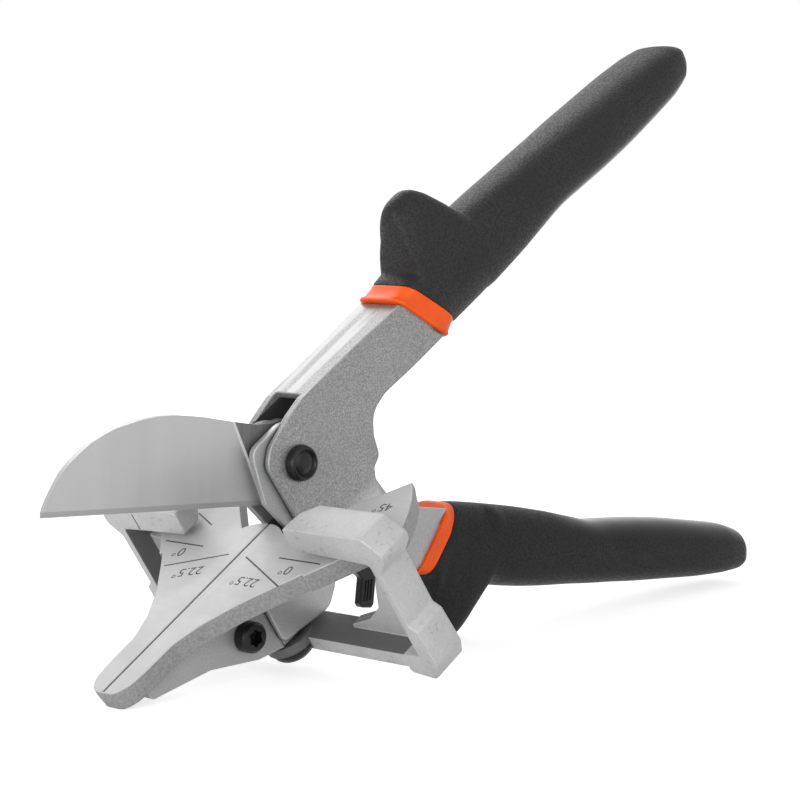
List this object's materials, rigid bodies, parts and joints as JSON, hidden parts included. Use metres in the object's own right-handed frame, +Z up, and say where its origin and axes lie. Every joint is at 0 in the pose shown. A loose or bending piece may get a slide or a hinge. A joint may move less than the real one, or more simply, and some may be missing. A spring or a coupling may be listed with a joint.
{
  "type": "mitre shears",
  "caption": "Hand mitre shears with a drop blade over a slotted table, a swivelling cast fence, sprung channel handles and moulded grips with thumb horns.",
  "frame": {"origin": "bottom centre of the shears' box as they stand open on the floor, on the toe under the table and the end of the lower grip", "axes": "+X forward along the blade and the table's groove, +Z up, +Y to the tool's left; the fence swivels about an axis square to the table, which leans forward of +Z"},
  "size_m": [0.2556, 0.1068, 0.1604],
  "materials": {
    "painted_steel": "hammered silver-grey paint on pressed steel",
    "ground_steel": "satin ground blade steel with a darker blank",
    "aluminium": "pale die-cast alloy, smooth on top and rough at the sides",
    "blackened_steel": "black oxide on bolts, nuts, studs and the latch",
    "spring_steel": "plain spring steel, washers and spacers",
    "brass": "plain bush",
    "soft_black": "matte pebbled soft moulding",
    "orange_collar": "matte orange moulding"
  },
  "bodies": {
    "upper_handle": {"upper_channel": "painted_steel", "upper_grip": "soft_black", "upper_collar": "orange_collar", "anvil_table": "aluminium", "table_shoe": "painted_steel", "table_screw": "blackened_steel", "table_nut": "blackened_steel", "table_rivet_front": "painted_steel", "table_rivet_rear": "painted_steel", "catch_stud": "blackened_steel", "pivot_bolt": "blackened_steel", "pivot_nut": "blackened_steel", "swivel_stud": "blackened_steel", "swivel_washer": "spring_steel", "dome_nut": "blackened_steel"},
    "blade_handle": {"lower_channel": "painted_steel", "lower_grip": "soft_black", "lower_collar": "orange_collar", "blade": "ground_steel", "blade_rivet_upper": "painted_steel", "blade_rivet_lower": "painted_steel", "blade_spacer_right": "spring_steel", "blade_spacer_left": "spring_steel", "opening_spring": "spring_steel", "spring_pin": "painted_steel", "latch_pin": "blackened_steel"},
    "fence": {"mitre_fence": "aluminium", "fence_bush": "brass"},
    "latch": {"latch_lever": "blackened_steel"}
  },
  "joints": [
    {"name": "handle_pivot", "type": "hinge", "parent": "upper_handle", "child": "blade_handle", "pos_m": [0.05239, 0, 0.05437], "axis": [0, 1, 0], "range_deg": [0, 36.3], "stiffness_Nm_per_rad": 1, "springref_deg": -57.3},
    {"name": "fence_swivel", "type": "hinge", "parent": "upper_handle", "child": "fence", "pos_m": [0.06663, 0, 0.03277], "axis": [0.5358, 0, 0.8443], "range_deg": [-45, 45]},
    {"name": "latch_swing", "type": "hinge", "parent": "blade_handle", "child": "latch", "pos_m": [0.02293, 0, 0.03252], "axis": [0, -1, 0], "range_deg": [0, 14]}
  ]
}
